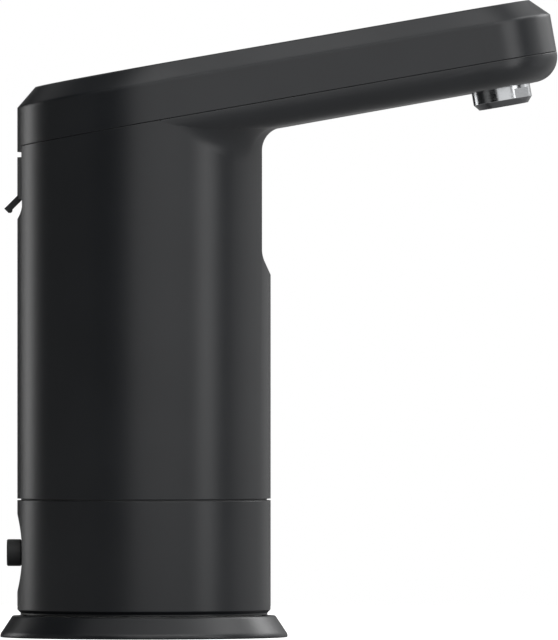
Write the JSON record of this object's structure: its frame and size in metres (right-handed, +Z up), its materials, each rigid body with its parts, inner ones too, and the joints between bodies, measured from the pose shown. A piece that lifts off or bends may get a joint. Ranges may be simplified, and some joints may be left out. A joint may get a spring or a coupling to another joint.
{
  "type": "cordless water tap",
  "caption": "Battery water tap: a swivelling column with a rising rounded spout and screw-out aerator, on a magnetic mounting disc with a rear hose inlet.",
  "frame": {"origin": "centre of the mounting disc's underside, on the column's axis", "axes": "+Z up along the column, +X from the column towards the spout's tip, +Y to the left of someone who looks along +X"},
  "size_m": [0.1604, 0.0828, 0.1835],
  "materials": {
    "housing_plastic": "satin black moulded plastic",
    "inner_plastic": "natural white moulded plastic",
    "spigot_plastic": "smooth black moulded plastic",
    "slide_plastic": "black low-friction plastic",
    "aerator_plastic": "white moulded plastic",
    "gloss_panel": "gloss black plastic",
    "soft_rubber": "matt black soft rubber",
    "silicone_hose": "milky silicone",
    "foam_adhesive": "closed foam tape",
    "zinc_steel": "zinc-plated steel",
    "nickel_metal": "nickel plating",
    "polished_chrome": "polished chrome plating",
    "mesh_steel": "woven stainless steel",
    "cell_sleeve": "blue shrink sleeve over a metal can",
    "motor_can": "plated motor can",
    "board_laminate": "green laminate with solder mask",
    "component_black": "moulded component bodies",
    "lead_insulation": "coloured lead insulation"
  },
  "bodies": {
    "mount": {"mounting_disc": "housing_plastic", "keeper_plate": "zinc_steel", "adhesive_pad": "foam_adhesive"},
    "base": {"base_housing": "housing_plastic", "base_cover": "inner_plastic", "base_magnets": "nickel_metal", "foot_ring": "soft_rubber", "base_cover_screws": "zinc_steel", "inlet_spigot": "spigot_plastic", "spigot_screws": "zinc_steel", "base_hose": "silicone_hose", "swivel_stem": "inner_plastic", "stem_screws": "zinc_steel", "swivel_seals": "soft_rubber", "swivel_clip": "zinc_steel", "slide_ring": "slide_plastic"},
    "head": {"head_floor": "inner_plastic", "floor_screws": "zinc_steel", "holder_screws": "zinc_steel", "stand_screws": "zinc_steel", "swivel_cap": "inner_plastic", "cap_screws": "zinc_steel", "main_housing": "housing_plastic", "top_cover": "housing_plastic", "touch_panel": "gloss_panel", "cover_screws": "zinc_steel", "battery_cells": "cell_sleeve", "battery_tabs": "nickel_metal", "battery_holder": "inner_plastic", "charging_port": "nickel_metal", "port_board": "board_laminate", "port_board_screws": "zinc_steel", "flap_anchor": "soft_rubber", "pump_head": "inner_plastic", "pump_motor": "motor_can", "pump_stand": "inner_plastic", "pump_grommets": "soft_rubber", "pump_screws": "zinc_steel", "suction_hose": "silicone_hose", "discharge_hose": "silicone_hose", "outlet_fitting": "inner_plastic", "fitting_screws": "zinc_steel", "touch_board": "board_laminate", "touch_board_screws": "zinc_steel", "control_board": "board_laminate", "board_components": "component_black", "board_screws": "zinc_steel", "battery_leads": "lead_insulation", "motor_leads": "lead_insulation", "port_leads": "lead_insulation", "touch_leads": "lead_insulation"},
    "flap": {"port_flap": "soft_rubber"},
    "aerator": {"aerator_insert": "aerator_plastic", "aerator_mesh": "mesh_steel", "nozzle_washer": "soft_rubber"},
    "sleeve": {"nozzle_sleeve": "polished_chrome"}
  },
  "joints": [
    {"name": "lift_off", "type": "slide", "parent": "mount", "child": "base", "axis": [0, 0, 1], "range_m": [0, 0.05]},
    {"name": "head_swivel", "type": "hinge", "parent": "base", "child": "head", "pos_m": [0, 0, 0.0399], "axis": [0, 0, 1], "continuous": true},
    {"name": "flap_open", "type": "hinge", "parent": "head", "child": "flap", "pos_m": [-0.0364, 0, 0.138], "axis": [0, 1, 0], "range_deg": [0, 110]},
    {"name": "aerator_drop", "type": "slide", "parent": "head", "child": "aerator", "axis": [0.1736, 0, -0.9848], "range_m": [0, 0.005]},
    {"name": "sleeve_turn", "type": "hinge", "parent": "aerator", "child": "sleeve", "pos_m": [0.10273, 0, 0.15805], "axis": [0.1736, 0, -0.9848], "range_deg": [0, 1800]}
  ],
  "couplings": [
    {"joint": "sleeve_turn", "follows": "aerator_drop", "rad_per_m": 6283.2}
  ]
}
